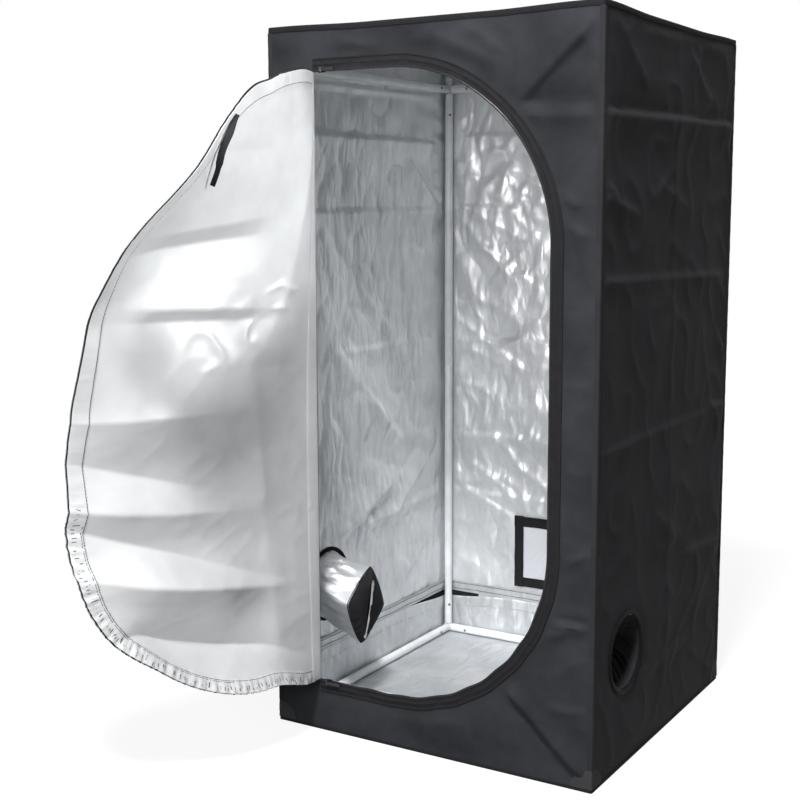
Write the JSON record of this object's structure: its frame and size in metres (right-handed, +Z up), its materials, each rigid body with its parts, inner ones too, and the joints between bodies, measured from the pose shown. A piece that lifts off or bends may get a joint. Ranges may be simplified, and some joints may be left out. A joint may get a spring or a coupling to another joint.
{
  "type": "indoor_grow_tent",
  "caption": "Small indoor grow tent: black cloth cover lined with silver film over a white tube frame, D-shaped zip door standing open, duct ports, vent window and floor tray",
  "frame": {"origin": "centre of the floor panel's underside, on the ground", "axes": "+Z up; +Y from the door wall to the back wall; +X to the right as seen from the front"},
  "size_m": [0.7289, 1.0412, 1.215],
  "materials": {
    "black_cloth": "satin black coated oxford cloth, silver film on its inner side",
    "silver_cloth": "bright silver metallised film on cloth",
    "black_tape": "matt black woven tape",
    "white_tube": "white powder coat on steel tube",
    "white_plastic": "white moulded plastic",
    "black_metal": "black enamel on zinc",
    "white_net": "pale woven net",
    "black_rim": "stiff black rim sewn into cloth"
  },
  "bodies": {
    "tent": {"back_wall": "black_cloth", "binding_back_left": "black_tape", "binding_back_right": "black_tape", "binding_front_left": "black_tape", "binding_front_right": "black_tape", "corner_patch_back_left": "black_cloth", "corner_patch_back_right": "black_cloth", "corner_patch_front_left": "black_cloth", "corner_patch_front_right": "black_cloth", "floor_corner_back_left": "white_plastic", "floor_corner_back_right": "white_plastic", "floor_corner_front_left": "white_plastic", "floor_corner_front_right": "white_plastic", "floor_hem": "black_tape", "floor_panel": "black_cloth", "floor_rail_back": "white_tube", "floor_rail_front": "white_tube", "floor_rail_left": "white_tube", "floor_rail_right": "white_tube", "floor_tray": "silver_cloth", "front_wall": "black_cloth", "left_port_cuff": "black_tape", "left_port_ring": "black_rim", "left_port_sleeve": "silver_cloth", "left_wall": "black_cloth", "lower_pole_back_left": "white_tube", "lower_pole_back_right": "white_tube", "lower_pole_front_left": "white_tube", "lower_pole_front_right": "white_tube", "opening_zip_tape": "black_tape", "right_port_cuff": "black_tape", "right_port_ring": "black_rim", "right_port_sleeve": "silver_cloth", "right_wall": "black_cloth", "roof_binding": "black_tape", "roof_panel": "black_cloth", "top_corner_back_left": "white_plastic", "top_corner_back_right": "white_plastic", "top_corner_front_left": "white_plastic", "top_corner_front_right": "white_plastic", "top_rail_back": "white_tube", "top_rail_front": "white_tube", "top_rail_left": "white_tube", "top_rail_right": "white_tube", "upper_pole_back_left": "white_tube", "upper_pole_back_right": "white_tube", "upper_pole_front_left": "white_tube", "upper_pole_front_right": "white_tube", "vent_hook_tape": "black_tape", "vent_net": "white_net"},
    "door": {"door_panel": "silver_cloth", "door_hem": "black_tape"},
    "tie_strap": {"door_tie_strap": "black_tape"},
    "upper_slider": {"upper_zip_slider": "black_metal"},
    "lower_slider": {"lower_zip_slider": "black_metal"},
    "upper_pull": {"upper_zip_pull": "black_metal"},
    "lower_pull": {"lower_zip_pull": "black_metal"},
    "left_bar": {"hanging_bar_left": "white_tube"},
    "right_bar": {"hanging_bar_right": "white_tube"}
  },
  "joints": [
    {"name": "door_swing", "type": "hinge", "parent": "tent", "child": "door", "pos_m": [-0.213, -0.30475, 0.094], "axis": [0, 0, -1], "range_deg": [-100, 52]},
    {"name": "tie_strap_swing", "type": "hinge", "parent": "door", "child": "tie_strap", "pos_m": [-0.1202, -0.6058, 1.0446], "axis": [0.2928, -0.9562, 0], "range_deg": [0, 120]},
    {"name": "upper_slider_run", "type": "slide", "parent": "tent", "child": "upper_slider", "axis": [1, 0, 0], "range_m": [0, 0.125]},
    {"name": "lower_slider_run", "type": "slide", "parent": "tent", "child": "lower_slider", "axis": [1, 0, 0], "range_m": [0, 0.125]},
    {"name": "upper_pull_swing", "type": "hinge", "parent": "upper_slider", "child": "upper_pull", "pos_m": [-0.195, -0.3101, 1.1407], "axis": [0, 0, -1], "range_deg": [0, 180]},
    {"name": "lower_pull_swing", "type": "hinge", "parent": "lower_slider", "child": "lower_pull", "pos_m": [-0.195, -0.3101, 0.0903], "axis": [0, 0, -1], "range_deg": [0, 180]},
    {"name": "left_bar_slide", "type": "slide", "parent": "tent", "child": "left_bar", "axis": [1, 0, 0], "range_m": [-0.139, 0.12]},
    {"name": "right_bar_slide", "type": "slide", "parent": "tent", "child": "right_bar", "axis": [1, 0, 0], "range_m": [-0.12, 0.139]}
  ]
}
